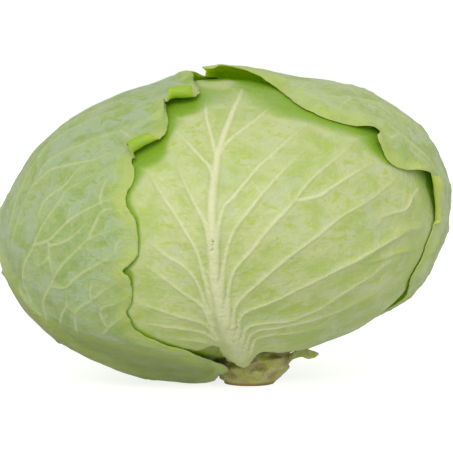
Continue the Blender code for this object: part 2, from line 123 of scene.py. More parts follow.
def attribute(nodes, key):
    """A value that the mesh carries."""
    return add_node(nodes, "ShaderNodeAttribute", {}, attribute_name=key).outputs["Fac"]


def add_bump(shader, height, distance, strength):
    """Fine relief of the surface, on top of any that the shader has already."""
    inputs = {"Height": height, "Distance": distance, "Strength": strength}
    if shader.inputs["Normal"].is_linked:
        inputs["Normal"] = shader.inputs["Normal"].links[0].from_socket
    bump = add_node(height.id_data.nodes, "ShaderNodeBump", inputs)
    link(bump.outputs["Normal"], shader.inputs["Normal"])


def mix_colour(share, low, high):
    """Mixes two colours (or sockets) by a value."""
    low, high = (value if isinstance(value, bpy.types.NodeSocket) else (*value, 1) for value in (low, high))
    inputs = {0: share, 6: low, 7: high}
    return add_node(share.id_data.nodes, "ShaderNodeMix", inputs, data_type="RGBA").outputs[2]


def ramp(value, low, high, to_low=0.0, to_high=1.0):
    """Maps a value smoothly from one range to another."""
    inputs = {"Value": value, "From Min": low, "From Max": high, "To Min": to_low, "To Max": to_high}
    nodes = value.id_data.nodes
    return add_node(nodes, "ShaderNodeMapRange", inputs, interpolation_type="SMOOTHSTEP").outputs["Result"]


heart_painted_shade, _, shader, place = new_material("packed_inner_leaves_painted_shade", 0.5)
cells = noise_at(place, 60.0, 4.0)["Fac"]
# Painted shade: the pale inner leaves are coloured the dark olive of the shadowed gaps they show through
link(mix_colour(cells, (0.12, 0.15, 0.02), (0.24, 0.27, 0.06)), shader.inputs["Base Color"])
add_bump(shader, cells, 0.0005, 0.4)
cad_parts["heart"].data.materials.clear()
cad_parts["heart"].data.materials.append(heart_painted_shade)


# The stem: the stump left where the head was cut from the plant, with the scars of the lower leaves.
# It is woody and beige with yellow-green patches, and its cut rim has dried brown and ragged.
# Above the cut it runs up inside the heart as a tapering core, as in the solid.
STEM_RINGS = (
    # height, radius, share of the head's lean, depth of the scars, shift to the right
    (0.0000, 0.0122, 0.0, 0.0, 0.0000),
    (0.0008, 0.0130, 0.0, 0.3, 0.0002),
    (0.0032, 0.0162, 0.3, 0.9, 0.0010),
    (0.0062, 0.0190, 0.7, 1.0, 0.0026),
    (0.0096, 0.0200, 1.0, 0.9, 0.0034),
    (0.0135, 0.0186, 1.0, 0.4, 0.0028),
    (0.0175, 0.0160, 1.0, 0.0, 0.0014),
    (0.0300, 0.0145, 1.0, 0.0, 0.0),
    (0.0500, 0.0105, 1.0, 0.0, 0.0),
    (0.0680, 0.0055, 1.0, 0.0, 0.0),
    (0.0720, 0.0026, 1.0, 0.0, 0.0),
)
STEM_TURNS = 320
# Small dormant buds on the front of the stump: turn round it and height
STEM_BUDS = ((radians(278.6), 0.0052), (radians(307.6), 0.0090), (radians(240.0), 0.0075))


def mesh_object(name, points, faces, material, smooth_angle=50):
    """A smooth-shaded mesh object with one material."""
    mesh = bpy.data.meshes.new(name)
    mesh.from_pydata([tuple(p) for p in points], [], faces)
    mesh.shade_smooth()
    mesh.set_sharp_from_angle(angle=radians(smooth_angle))
    mesh.materials.append(material)
    piece = bpy.data.objects.new(name, mesh)
    bpy.context.scene.collection.objects.link(piece)
    return piece


def smooth_step(value, low, high):
    t = np.clip((value - low) / (high - low), 0, 1)
    return t * t * (3 - 2 * t)


def rough(points, scale, seed, octaves=3):
    """Smooth noise from -1 to 1 at points, in metres."""
    shift = Vector((seed * 7.3, seed * 3.1, seed * 5.7))
    return np.array([noise.fractal(Vector(p) / scale + shift, 0.8, 2.0, octaves) for p in points])


rings = np.array(STEM_RINGS)
levels = np.concatenate([np.linspace(0, 0.0008, 8, endpoint=False),
                         np.linspace(0.0008, 0.0175, 130, endpoint=False),
                         np.linspace(0.0175, 0.072, 32)])
turns = np.arange(STEM_TURNS) * 2 * pi / STEM_TURNS
stem_points, sunk = [], []
for height in levels:
    radius, lean, scars, shift = (np.interp(height, rings[:, 0], rings[:, k]) for k in (1, 2, 3, 4))
    up = unit(np.array([0, 0, 1.0]) * (1 - lean) + AXES[:, 2] * lean)
    right = unit(np.cross([0, 1.0, 0], up))
    back = np.cross(up, right)
    centre = np.array([shift, 0, height]) + (AXES[:, 2] - [0, 0, 1]) * height * lean
    ring = np.cos(turns)[:, None] * right + np.sin(turns)[:, None] * back
    # Leaf scars: low crescents set round the stem in a spiral, each with a sunk middle
    scar = np.sin(turns * 5 + height * 700) + 0.6 * np.sin(turns * 8 - height * 500)
    step = np.sin(height * 1500 + 1.6 * np.sin(turns * 3 + 0.8) + 0.9 * np.sin(turns * 5))
    reach = radius + scars * (0.0007 * (scar - 1.2) + 0.00035 * (step - 1))
    for bud_turn, bud_height in STEM_BUDS:
        aside = ((turns - bud_turn + pi) % (2 * pi) - pi) * radius
        near = np.hypot(aside / 0.0030, (height - bud_height) / 0.0022)
        reach = reach + 0.0013 * np.exp(-near ** 3) - 0.0006 * np.exp(-((near - 1.5) / 0.35) ** 2) * scars
    sunk.append((1 - smooth_step(scar, -1.2, -0.2)) * min(scars, 1.0))
    stem_points.append(centre + ring * reach[:, None])
stem_points, sunk = np.concatenate(stem_points), np.concatenate(sunk)
level_of = np.repeat(levels, STEM_TURNS)
outward = unit(stem_points * [1, 1, 0] + 1e-9)
fine = rough(stem_points, 0.0030, 1) * 0.00030 + rough(stem_points, 0.0010, 2) * 0.00010
stem_points += outward * (fine * smooth_step(level_of, 0.0002, 0.0015))[:, None]
faces = [tuple(range(STEM_TURNS))[::-1]]
for low in range(0, (len(levels) - 1) * STEM_TURNS, STEM_TURNS):
    for k in range(STEM_TURNS):
        after = (k + 1) % STEM_TURNS
        faces.append((low + k, low + after, low + STEM_TURNS + after, low + STEM_TURNS + k))
faces.append(tuple(range(len(stem_points) - STEM_TURNS, len(stem_points))))

stem_finish, nodes, shader, place = new_material("cut_stem", 0.62)
split = add_node(nodes, "ShaderNodeSeparateXYZ", {0: place})
patches = noise_at(place, 260.0, 5.0, 0.8)
specks = noise_at(place, 900.0, 3.0)["Fac"]
base = mix_colour(ramp(patches["Fac"], 0.44, 0.56), (0.50, 0.44, 0.20), (0.47, 0.49, 0.10))
base = mix_colour(ramp(patches["Color"], 0.56, 0.68), base, (0.62, 0.59, 0.33))
base = mix_colour(ramp(attribute(nodes, "crevice"), 0.1, 0.9, 0.0, 0.40), base, (0.22, 0.17, 0.05))
base = mix_colour(ramp(specks, 0.63, 0.70), base, (0.16, 0.11, 0.03))
base = mix_colour(ramp(split.outputs["Z"], 0.0004, 0.0022, 0.9, 0.0), base, (0.24, 0.16, 0.045))
link(base, shader.inputs["Base Color"])
add_bump(shader, specks, 0.0004, 0.6)
stem = mesh_object("cut_stem", stem_points, faces, stem_finish)
stem.data.attributes.new("crevice", "FLOAT", "POINT").data.foreach_set("value", sunk)
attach(stem, "root")
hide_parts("stem")


# The outermost leaf wraps the upper right and the back, its edge loose over the crown.
# A cabbage leaf is a thin blade with a thick midrib and side ribs that stand out on this, its outer side.
# Its green is masked by a pale wax bloom, and its margin waves and curls a little.

# A blade's thickness, the step from one leaf in to the next, and the extra tuck of a free margin
BLADE, STEP, DEEP_TUCK = 0.0008, 0.0016, 0.0013
# How far in from its edge a leaf waves, tucks in, frills and thins
WAVED, TUCKED, FRILLED, THINNED = 0.022, 0.010, 0.007, 0.0035
# Steps along an outline, along a leaf's own edge and along a rib
OUTLINE_STEP, EDGE_STEP, RIB_STEP = 0.004, 0.0015, 0.0025
# The length and depth of the margin's small waves and of its nicks
SMALL_WAVES, NICKS = (0.009, 0.0007), (0.003, 0.0004)
# The broad waves round a leaf, the height of its frill, and the width of the painted shade beside a leaf that
# lies over it
WAVES, FRILL, SHADE = 11, 0.0005, 0.0014
# How high the margin has to lift before it no longer tucks in
LOOSE = 0.0012
# The height of the fleshy stalk band, and the depth and width of the groove along it
BAND, GROOVE_DEPTH, GROOVE_WIDTH = 0.0010, 0.0007, 0.0011
# How gently a curl begins at either end of its line
CURL_END = 0.0014
# Steps in a side vein, and how far it stays from the leaf's edge
VEIN_STEPS, VEIN_CLEAR = 7, 0.0015
# Width and height of the side veins and of the finest veins that are raised
SMALL_VEIN, TINY_VEIN = (0.0012, 0.00032), (0.0009, 0.00018)
# Metres to the unit on a leaf's flat map, and the rows' share of a grid's spacing there
FLAT, ROW = 0.100, 0.866
# The front view: degrees that it looks down, and its distance, pixels to the unit, middle and size
VIEW_DOWN = 5
VIEW_RIGHT = np.array([1.0, 0, 0])
VIEW_BACK = np.array([0, -cos(radians(VIEW_DOWN)), sin(radians(VIEW_DOWN))])
VIEW_UP = np.array([0, sin(radians(VIEW_DOWN)), cos(radians(VIEW_DOWN))])
VIEW_DISTANCE, VIEW_PIXELS, VIEW_CENTRE, VIEW_SIZE = 1.2, 2434.0, (222.7, 222.5), 453


def seen(across, down):
    """Direction of a place in the front view, given in that view's pixels, on the head's skin."""
    goal = np.array([across, down], float)
    aim = goal.copy()
    for _ in range(7):
        ray = VIEW_RIGHT * (aim[0] - VIEW_CENTRE[0]) / VIEW_PIXELS
        ray = AXES.T @ (ray + VIEW_UP * (VIEW_CENTRE[1] - aim[1]) / VIEW_PIXELS - VIEW_BACK) / RADII
        start = AXES.T @ (VIEW_BACK * VIEW_DISTANCE) / RADII
        half = start @ ray / (ray @ ray)
        inside_ball = half * half - (start @ start - 1) / (ray @ ray)
        direction = unit(start + ray * (-half - max(inside_ball, 0.0) ** 0.5))
        away = on_head(direction[None, :], np.zeros(1))[0][0] - CENTRE - VIEW_BACK * VIEW_DISTANCE
        scale = VIEW_PIXELS / -(away @ VIEW_BACK)
        found = [VIEW_CENTRE[0] + away @ VIEW_RIGHT * scale, VIEW_CENTRE[1] - away @ VIEW_UP * scale]
        aim += 0.8 * (goal - found)
    return direction


def traced(*places):
    """Directions of several places in the front view."""
    return [seen(*place) for place in places]


class Chart:
    """A flat map of the head round one leaf, in metres, on which areas keep their share."""

    def __init__(self, outline):
        self.middle = unit(np.mean(outline, axis=0))
        pole = [0, 0, 1.0] if abs(self.middle[2]) < 0.9 else [0, 1.0, 0]
        side = unit(np.cross(pole, self.middle))
        self.flat = np.stack([side, np.cross(self.middle, side)], axis=-1)

    def flatten(self, directions):
        directions = np.asarray(directions, float)
        reach = np.sqrt(2 / np.maximum(1 + directions @ self.middle, 1e-3))
        return (directions @ self.flat) * reach[..., None] * FLAT

    def lift(self, points):
        points = np.asarray(points, float) / FLAT
        far = (points * points).sum(-1)[..., None]
        return unit(self.middle * (1 - far / 2) + points @ self.flat.T * np.sqrt(np.maximum(1 - far / 4, 0)))


def smooth_path(path, spacing, closed=False):
    """A path that runs smoothly through its corners, in steps near the spacing."""
    count = len(path)
    out = []
    for k in range(count if closed else count - 1):
        turn = [(k + n) % count if closed else min(max(k + n, 0), count - 1) for n in (-1, 0, 1, 2)]
        before, a, b, after = (path[n] for n in turn)
        length = np.linalg.norm(b - a)
        leave = (b - before) * length / (length + np.linalg.norm(a - before) + 1e-9)
        arrive = (after - a) * length / (length + np.linalg.norm(after - b) + 1e-9)
        for t in np.arange(0, 1, 1 / max(1, round(length / spacing))):
            out.append(a * (1 - 3 * t ** 2 + 2 * t ** 3) + b * (3 * t ** 2 - 2 * t ** 3)
                       + leave * (t - 2 * t ** 2 + t ** 3) + arrive * (t ** 3 - t ** 2))
    return np.array(out if closed else out + [path[-1]])


def nearest_on(points, path):
    """Distance from points to a flat path, and how far along it the nearest place lies."""
    steps = np.linalg.norm(np.diff(path, axis=0), axis=1)
    places = np.concatenate([[0], np.cumsum(steps)]) / steps.sum()
    near, share = np.full(len(points), 9.0), np.zeros(len(points))
    for k, (a, b) in enumerate(zip(path[:-1], path[1:])):
        run = b - a
        t = np.clip(((points - a) @ run) / (run @ run + 1e-15), 0, 1)
        far = np.linalg.norm(points - a - t[:, None] * run, axis=1)
        closer = far < near
        near = np.where(closer, far, near)
        share = np.where(closer, places[k] + t * (places[k + 1] - places[k]), share)
    return near, share


def inside(points, outline):
    """How far inside a closed flat outline each point lies, negative outside."""
    loop = np.concatenate([outline, outline[:1]])
    crossed = np.zeros(len(points), int)
    for a, b in zip(loop[:-1], loop[1:]):
        spans = (a[1] > points[:, 1]) != (b[1] > points[:, 1])
        cut = a[0] + (points[:, 1] - a[1]) * (b[0] - a[0]) / (b[1] - a[1] + 1e-15)
        crossed += spans & (points[:, 0] < cut)
    return np.where(crossed % 2 == 1, 1, -1) * nearest_on(points, loop)[0]


def outside_leaf(directions, outline):
    """How far outside another leaf's outline each direction lies, negative inside it."""
    chart = Chart(outline)
    return -inside(chart.flatten(directions), smooth_path(chart.flatten(outline), OUTLINE_STEP, closed=True))


def fill(edge, grid, tolerance):
    """Points and triangles that fill a flat outline, with a grid inside it."""
    loop = [(k, (k + 1) % len(edge)) for k in range(len(edge))]
    cut = delaunay_2d_cdt([tuple(p) for p in np.concatenate([edge, grid])], loop, [], 1, tolerance)
    return np.array([tuple(p) for p in cut[0]]), [tuple(f) for f in cut[2]]


def search_tree(points):
    """Finds the nearest of some flat points."""
    tree = kdtree.KDTree(len(points))
    for k, point in enumerate(points):
        tree.insert((*point, 0), k)
    tree.balance()
    return tree


def worked_in(piece):
    """Gives a piece the mesh that its modifiers make of it."""
    made = bpy.data.meshes.new_from_object(piece.evaluated_get(bpy.context.evaluated_depsgraph_get()))
    piece.modifiers.clear()
    piece.data = made
    return made


def rib_tree():
    """Raises ribs along the paths of another object, and marks where they run."""
    tree = bpy.data.node_groups.new("raise_ribs", "GeometryNodeTree")
    for name, kind in (("Leaf", "Geometry"), ("Rib paths", "Object"), ("Height", "Float"), ("Width", "Float"),
                       ("Finish", "Material")):
        tree.interface.new_socket(name, in_out="INPUT", socket_type="NodeSocket" + kind)
    tree.interface.new_socket("Leaf", in_out="OUTPUT", socket_type="NodeSocketGeometry")

    def add(kind, inputs, **settings):
        return add_node(tree.nodes, kind, inputs, **settings).outputs

    def calc(operation, one, other):
        return add("ShaderNodeMath", {0: one, 1: other}, operation=operation)[0]

    def read(name):
        return add("GeometryNodeInputNamedAttribute", {"Name": name}, data_type="FLOAT")["Attribute"]

    given = add("NodeGroupInput", {})
    paths = add("GeometryNodeObjectInfo", {"Object": given["Rib paths"]})["Geometry"]
    near = add("GeometryNodeProximity", {0: paths}, target_element="EDGES")
    index = add("GeometryNodeSampleNearest", {"Geometry": paths, "Sample Position": near["Position"]},
                domain="POINT")["Index"]
    rib_height, rib_width, rib_mark = (
        add("GeometryNodeSampleIndex", {"Geometry": paths, "Value": read(name), "Index": index},
            data_type="FLOAT", domain="POINT")["Value"] for name in ("rib_height", "rib_width", "rib_mark"))
    reach = {"Value": near["Distance"], "From Max": calc("MULTIPLY", rib_width, given["Width"]),
             "To Min": 1.0, "To Max": 0.0}
    share = add("ShaderNodeMapRange", reach, interpolation_type="SMOOTHERSTEP")["Result"]
    height = calc("MULTIPLY", calc("MULTIPLY", rib_height, given["Height"]), share)
    height = calc("MULTIPLY", height, read("free"))
    normal = add("GeometryNodeInputNormal", {})[0]
    aside = add("ShaderNodeVectorMath", {0: normal, "Scale": height}, operation="SCALE")[0]
    # The mark comes before the move, because the share is worked out from where the blade lies
    narrow = calc("MULTIPLY", calc("POWER", share, 1.5), rib_mark)
    mark = {"Geometry": given["Leaf"], "Name": "vein", "Value": calc("MAXIMUM", read("vein"), narrow)}
    marked = add("GeometryNodeStoreNamedAttribute", mark, data_type="FLOAT", domain="POINT")[0]
    moved = add("GeometryNodeSetPosition", {"Geometry": marked, "Offset": aside})[0]
    real = add("GeometryNodeRealizeInstances", {0: moved})[0]
    painted = add("GeometryNodeSetMaterial", {"Geometry": real, "Material": given["Finish"]})[0]
    add("NodeGroupOutput", {0: painted})
    return tree


raise_ribs = rib_tree()


def path_object(name, paths):
    """A bare edge mesh of rib paths; each is (points, widths, heights, how clearly its colour shows)."""
    points, edges, widths, heights, marks = [], [], [], [], []
    for path, width, height, mark in paths:
        edges += [(len(points) + k, len(points) + k + 1) for k in range(len(path) - 1)]
        points += [tuple(p) for p in path]
        widths += list(width)
        heights += list(height)
        marks += list(mark)
    mesh = bpy.data.meshes.new(name)
    mesh.from_pydata(points, edges, [])
    for key, values in (("rib_width", widths), ("rib_height", heights), ("rib_mark", marks)):
        mesh.attributes.new(key, "FLOAT", "POINT").data.foreach_set("value", values)
    guide = bpy.data.objects.new(name, mesh)
    bpy.context.scene.collection.objects.link(guide)
    return guide


def turned(vector, angle):
    """A flat vector turned by an angle."""
    return np.array([vector[0] * cos(angle) - vector[1] * sin(angle),
                     vector[0] * sin(angle) + vector[1] * cos(angle)])


def grow_branches(edge, paths, seed, gap=0.011, length=0.024):
    """Fine side veins that leave each rib by turns to either side and bend towards the margin."""
    draw = np.random.default_rng(seed)
    branches = []
    for path in paths:
        steps = np.linalg.norm(np.diff(path, axis=0), axis=1)
        place, total, side = draw.uniform(0.3, 1.0) * gap, steps.sum(), 1
        while place < total * 0.97:
            k = min(int(np.searchsorted(np.cumsum(steps), place)), len(path) - 2)
            heading = turned(unit(path[k + 1] - path[k]), side * radians(draw.uniform(42, 66)))
            reach = length * draw.uniform(0.5, 1.15) * (1 - 0.35 * place / total)
            points = [path[k].copy()]
            for _ in range(VEIN_STEPS):
                heading = turned(heading, -side * radians(draw.uniform(1, 8)))
                points.append(points[-1] + heading * reach / VEIN_STEPS)
            points = np.array(points)
            keep = inside(points, edge) > VEIN_CLEAR
            points = points[:len(keep) if keep.all() else int(np.argmin(keep))]
            if len(points) > 2:
                branches.append(points)
            side = -side
            place += gap * draw.uniform(0.7, 1.3)
    return branches


def make_leaf(node, layer, outline, midrib, mid_widths, mid_heights, side_ribs, covers, lifts, finishes, seed,
              shades=(), curls=(), folds=(), wave=0.0005, grain=0.0011, twigs=True, puff=0.0005,
              pucker=0.0004, rib_size=(0.0024, 0.0009), tuck=0.0009, over=(), stalk=None, rise=0.010):
    """One leaf as a closed thin blade, with its edge, waves, curls, ribs and fine veins.

    lifts and shades are spots: (direction, reach along the leaf, height or width). Shades set how wide the
    painted shade beside a covering leaf runs; a shade's width is below 0 where light gets in and the painted
    shade pulls back. A curl is a line, a radius and a reach.
    The margin tucks in by more than usual where none of the leaves in over lies right below.
    """
    chart = Chart(outline)
    coarse = smooth_path(chart.flatten(outline), 0.006, closed=True)
    edge = smooth_path(chart.flatten(outline), EDGE_STEP, closed=True)
    # The margin is never a clean line: small waves and nicks along it
    aside = np.roll(edge, -1, axis=0) - np.roll(edge, 1, axis=0)
    aside = unit(np.stack([aside[:, 1], -aside[:, 0]], axis=1))
    flat = np.concatenate([edge, np.zeros((len(edge), 1))], axis=1)
    nicks = rough(flat, SMALL_WAVES[0], seed, 3) * SMALL_WAVES[1]
    nicks = nicks + rough(flat, NICKS[0], seed + 1, 2) * NICKS[1]
    edge = edge + aside * nicks[:, None]
    low, high = edge.min(0), edge.max(0)
    rows = int((high[1] - low[1]) / grain / ROW) + 1
    columns = int((high[0] - low[0]) / grain) + 1
    grid = np.stack(np.meshgrid(np.arange(columns), np.arange(rows)), axis=-1).reshape(-1, 2).astype(float)
    grid[:, 0] += 0.5 * (grid[:, 1] % 2)
    grid = low + grid * [grain, grain * ROW]
    points, faces = fill(edge, grid[inside(grid, edge) > grain * 0.6], 1e-7)
    directions = chart.lift(points)
    within = inside(points, edge)
    skin, normals = on_head(directions, np.zeros(len(points)))

    def spot_share(spots, power=2):
        """How near each point lies to the spots, 1 at them, with the spots' last value as weight."""
        share = np.zeros(len(points))
        for spot, size, value in spots:
            near = np.linalg.norm(skin - on_head(spot[None, :], np.zeros(1))[0], axis=-1) / size
            share = share + value * np.exp(-near ** power)
        return share

    # Where another leaf lies on this one it is smooth, and just outside that leaf's edge a deep green is
    # painted as its shade
    free, shade = np.ones(len(points)), np.zeros(len(points))
    reach = SHADE + spot_share([spot for spot in shades if spot[2] > 0], 4)
    lit = spot_share([spot for spot in shades if spot[2] < 0], 4)
    for other in covers:
        far = outside_leaf(directions, other)
        free = free * smooth_step(far, 0.003, 0.012)
        shade = np.maximum(shade, 1 - smooth_step((far - lit) / reach, -0.1, 1.1))
    margin = 1 - smooth_step(within, 0.0, WAVED)
    round_edge = nearest_on(points, np.concatenate([coarse, coarse[:1]]))[1]
    raised = wave * margin * (0.5 + 0.5 * np.sin(round_edge * WAVES * 2 * pi)) * free
    lifted = spot_share(lifts)
    raised = raised + lifted

    # Between the ribs the blade swells into soft hollows and puckers, and the margin frills
    mains = [(smooth_path(chart.flatten(midrib), RIB_STEP), mid_widths, mid_heights)]
    mains += [(smooth_path(chart.flatten(path), RIB_STEP), *rib_size) for path in side_ribs]
    ribbed = np.concatenate([smooth_path(path, 0.0012) for path, _, _ in mains])
    nearest_rib = search_tree(ribbed)
    hollow = np.array([nearest_rib.find((*point, 0))[2] for point in points])
    relief = -puff * smooth_step(hollow, 0.001, 0.008) + pucker * rough(skin, 0.018, seed + 3, 2)
    relief += 0.4 * pucker * rough(skin, 0.0065, seed + 4, 3)
    frill = (1 - smooth_step(within, 0.0, FRILLED)) * (0.5 + 0.5 * rough(skin, 0.009, seed + 5, 2))
    resting = 1 - np.clip(lifted / LOOSE, 0, 1)
    raised = raised + (relief + FRILL * frill * (1 - 0.6 * resting)) * free
    tucks = np.full(len(points), tuck)
    for other in over:
        tucks = tuck + DEEP_TUCK * smooth_step(outside_leaf(directions, other), 0.004, 0.014)
    raised = raised - tucks * (1 - smooth_step(within, 0.001, TUCKED)) * resting
    stalky = np.zeros(len(points))
    if stalk is not None:
        stalky = inside(points, smooth_path(chart.flatten(stalk), OUTLINE_STEP, closed=True))
        low = 1 - smooth_step(skin[:, 2], 0.036, 0.080)
        groove = GROOVE_DEPTH * np.exp(-(stalky / GROOVE_WIDTH) ** 2)
        raised = raised + low * (BAND * smooth_step(stalky, 0.0, 0.004) - groove)
        stalky = smooth_step(stalky, -0.0003, 0.0012) * low
    for path, width, height in folds:
        near, share = nearest_on(points, smooth_path(chart.flatten(path), 0.003))
        fading = np.sin(pi * np.clip(share, 0.02, 0.98)) ** 0.5
        raised = raised + height * np.exp(-(near / width) ** 2) * fading * free
    place = skin - normals * (layer * STEP - raised)[:, None]

    # Curls: what lies beyond a line rolls up round it, towards the outside
    rolled = np.zeros(len(points))
    for start, end, radius, reach in curls:
        start, end = chart.flatten(np.array([start, end]))
        run, length = unit(end - start), np.linalg.norm(end - start)
        out = np.array([run[1], -run[0]])
        ahead, beyond = (points - start) @ run, (points - start) @ out
        share = smooth_step(ahead, -CURL_END, CURL_END)
        share = share * (1 - smooth_step(ahead, length - CURL_END, length + CURL_END))
        bent = np.nonzero((beyond > 0) & (beyond < reach) & (share > 0.01))[0]
        far, bend = beyond[bent], share[bent] / radius
        there = on_head(chart.lift(points[bent] + out * 0.001), np.zeros(len(bent)))[0]
        place[bent] += unit(there - skin[bent]) * (np.sin(bend * far) / bend - far)[:, None]
        place[bent] += normals[bent] * ((1 - np.cos(bend * far)) / bend)[:, None]
        rolled[bent] = np.clip(bend * far, 0, 1)

    bottom = max(layer - 1, 0) * STEP
    touching = smooth_step(place[:, 2], bottom + 0.001, bottom + 0.007)
    place[:, 2] = np.maximum(place[:, 2], bottom)

    name = node + "_blade"
    piece = mesh_object(name, place, faces, finishes[0], 80)
    piece.data.materials.append(finishes[1])
    values = {"free": free * touching, "vein": np.zeros(len(points)), "shade": shade,
              "halo": 1 - smooth_step(hollow, 0.0008, 0.0060), "margin": 1 - smooth_step(within, 0.0, 0.013),
              "stalk": stalky, "rolled": rolled}
    for key, numbers in values.items():
        piece.data.attributes.new(key, "FLOAT", "POINT").data.foreach_set("value", numbers)
    thin = piece.vertex_groups.new(name="thin_edge")
    levels = np.round((0.45 + 0.55 * smooth_step(within, 0.0, THINNED)) * 20).astype(int)
    for level in np.unique(levels):
        thin.add([int(k) for k in np.nonzero(levels == level)[0]], float(level) / 20, "REPLACE")
    nearest_points = search_tree(points)

    def lay(path):
        swell = [np.mean([raised[k] for _, k, _ in nearest_points.find_n((*point, 0), 3)]) for point in path]
        return on_head(chart.lift(path), layer * STEP - np.array(swell))[0]

    def taper(path, size, last, start=0.0):
        if isinstance(size, tuple):
            return np.interp(np.linspace(0, 1, len(path)), np.linspace(0, 1, len(size)), size)
        run = np.concatenate([[1e-6], np.cumsum(np.linalg.norm(np.diff(path, axis=0), axis=1))])
        return np.linspace(size, size * last, len(path)) * smooth_step(run, -1e-6, start + 1e-6)

    def strands(ribs, last_width, last_height, marks, start=0.0):
        return [(lay(path), taper(path, width, last_width), taper(path, height, last_height, start),
                 taper(path, marks, 1)) for path, width, height in ribs]

    sets = [strands(mains[:1], 1, 1, (0.42, 0.62, 0.75, 0.75)),
            strands(mains[1:], 0.65, 0.45, (0.55, 0.62, 0.60, 0.50, 0.15), rise)]
    if twigs:
        small = grow_branches(coarse, [path for path, _, _ in mains], seed)
        tiny = grow_branches(coarse, small, seed + 9, 0.0065, 0.010)
        sets.append(strands([(path, *SMALL_VEIN) for path in small], 0.6, 0.4, (0.34, 0.238))
                    + strands([(path, *TINY_VEIN) for path in tiny], 0.6, 0.5, (0.16, 0.128)))
    inputs = {item.name: item.identifier for item in raise_ribs.interface.items_tree
              if item.in_out == "INPUT"}
    guides = []
    for paths in reversed(sets):
        guides.append(path_object(name + "_rib_paths", paths))
        ribs = piece.modifiers.new("ribs", "NODES")
        ribs.node_group = raise_ribs
        for key, value in (("Rib paths", guides[-1]), ("Height", 1.0), ("Width", 1.0),
                           ("Finish", finishes[0])):
            ribs[inputs[key]] = value
    blade = piece.modifiers.new("blade", "SOLIDIFY")
    blade.thickness = BLADE
    blade.offset = -1.0
    blade.use_even_offset = False
    blade.vertex_group = "thin_edge"
    blade.material_offset = 1
    made = worked_in(piece)
    made.name = name
    if len(made.materials) < 2:
        made.materials.append(finishes[1])
    for guide in guides:
        bpy.data.objects.remove(guide)
    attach(piece, "root")
    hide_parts(node)


def let_light_through(shader, share, radii, scale):
    """Sets how much light passes through a leaf, how far by colour, and over what scale."""
    for name, value in (("Weight", share), ("Radius", radii), ("Scale", scale)):
        shader.inputs["Subsurface " + name].default_value = value


def leaf_finish(name, deep, light, vein, margin, bloom, bloom_share, rubbed, seed, roughness=0.42, net=0.22,
                stalk=(0.32, 0.38, 0.10)):
    """A waxy leaf: mottled green, a pale bloom rubbed off in streaks, paler veins and a yellowish margin."""
    material, nodes, shader, place = new_material(name, roughness)

    def noisy(scale, detail=4.0, distortion=0.0, stretch=(1, 1, 1), share=0.55):
        moved = {"Vector": place, "Location": (seed * 0.37, seed * 0.11, seed * 0.23), "Scale": stretch}
        moved = add_node(nodes, "ShaderNodeMapping", moved).outputs[0]
        return noise_at(moved, scale, detail, distortion, share)["Fac"]

    def product(one, other):
        return add_node(nodes, "ShaderNodeMath", {0: one, 1: other}, operation="MULTIPLY").outputs[0]

    colour = mix_colour(ramp(noisy(60.0, 5.0), 0.40, 0.60), deep, light)
    colour = mix_colour(product(ramp(noisy(230.0, 5.0), 0.47, 0.62), 0.45), colour, deep)
    patches = noisy(75.0, 5.0, 0.6, (1.0, 1.0, 1.5))
    patches = ramp(patches, 0.60 - 0.22 * bloom_share, 0.70 - 0.16 * bloom_share)
    colour = mix_colour(product(patches, min(0.35 + 0.6 * bloom_share, 0.9)), colour, bloom)
    wiped = ramp(noisy(105.0, 8.0, 1.2, (1.0, 1.0, 1.9), 0.66), 0.545, 0.60)
    colour = mix_colour(product(wiped, 0.85), colour, rubbed)
    cells = add_node(nodes, "ShaderNodeTexVoronoi", {"Vector": place, "Scale": 260.0},
                     feature="DISTANCE_TO_EDGE")
    lines = ramp(cells.outputs["Distance"], 0.0, 0.09, net, 0.0)
    colour = mix_colour(lines, colour, vein)
    halo = ramp(attribute(nodes, "halo"), 0.0, 1.0, 0.0, 0.50)
    halo = product(halo, ramp(noisy(120.0), 0.3, 0.6, 0.4, 1.0))
    colour = mix_colour(halo, colour, light)
    colour = mix_colour(ramp(attribute(nodes, "vein"), 0.08, 0.70, 0.0, 0.92), colour, vein)
    streaked = ramp(noisy(80.0, 4.0, 0.0, (1.0, 1.0, 4.0)), 0.3, 0.7, 0.75, 1.0)
    colour = mix_colour(product(attribute(nodes, "stalk"), streaked), colour, stalk)
    edge_share = ramp(attribute(nodes, "margin"), 0.10, 1.0, 0.0, 0.75)
    edge_share = product(edge_share, ramp(noisy(60.0), 0.3, 0.6, 0.5, 1.0))
    colour = mix_colour(edge_share, colour, margin)
    # Painted shade: a deep saturated green beside the edge of each leaf that lies over this one
    colour = mix_colour(ramp(attribute(nodes, "shade"), 0.05, 0.95, 0.0, 0.92), colour, (0.22, 0.40, 0.012))
    specks = ramp(noisy(430.0, 2.0), 0.755, 0.80, 0.0, 0.5)
    colour = mix_colour(specks, colour, (0.12, 0.12, 0.02))
    link(colour, shader.inputs["Base Color"])
    wax = ramp(noisy(110.0), 0.35, 0.65, roughness - 0.08, roughness + 0.14)
    link(wax, shader.inputs["Roughness"])
    let_light_through(shader, 0.10, (0.6, 1.0, 0.15), 0.002)
    shader.inputs["Specular IOR Level"].default_value = 0.40
    add_bump(shader, noisy(620.0, 4.0), 0.00040, 0.7)
    add_bump(shader, noisy(210.0, 5.0, 0.8, (1.0, 1.0, 1.6)), 0.0009, 0.55)
    add_bump(shader, lines, 0.00030, 0.5)
    return material


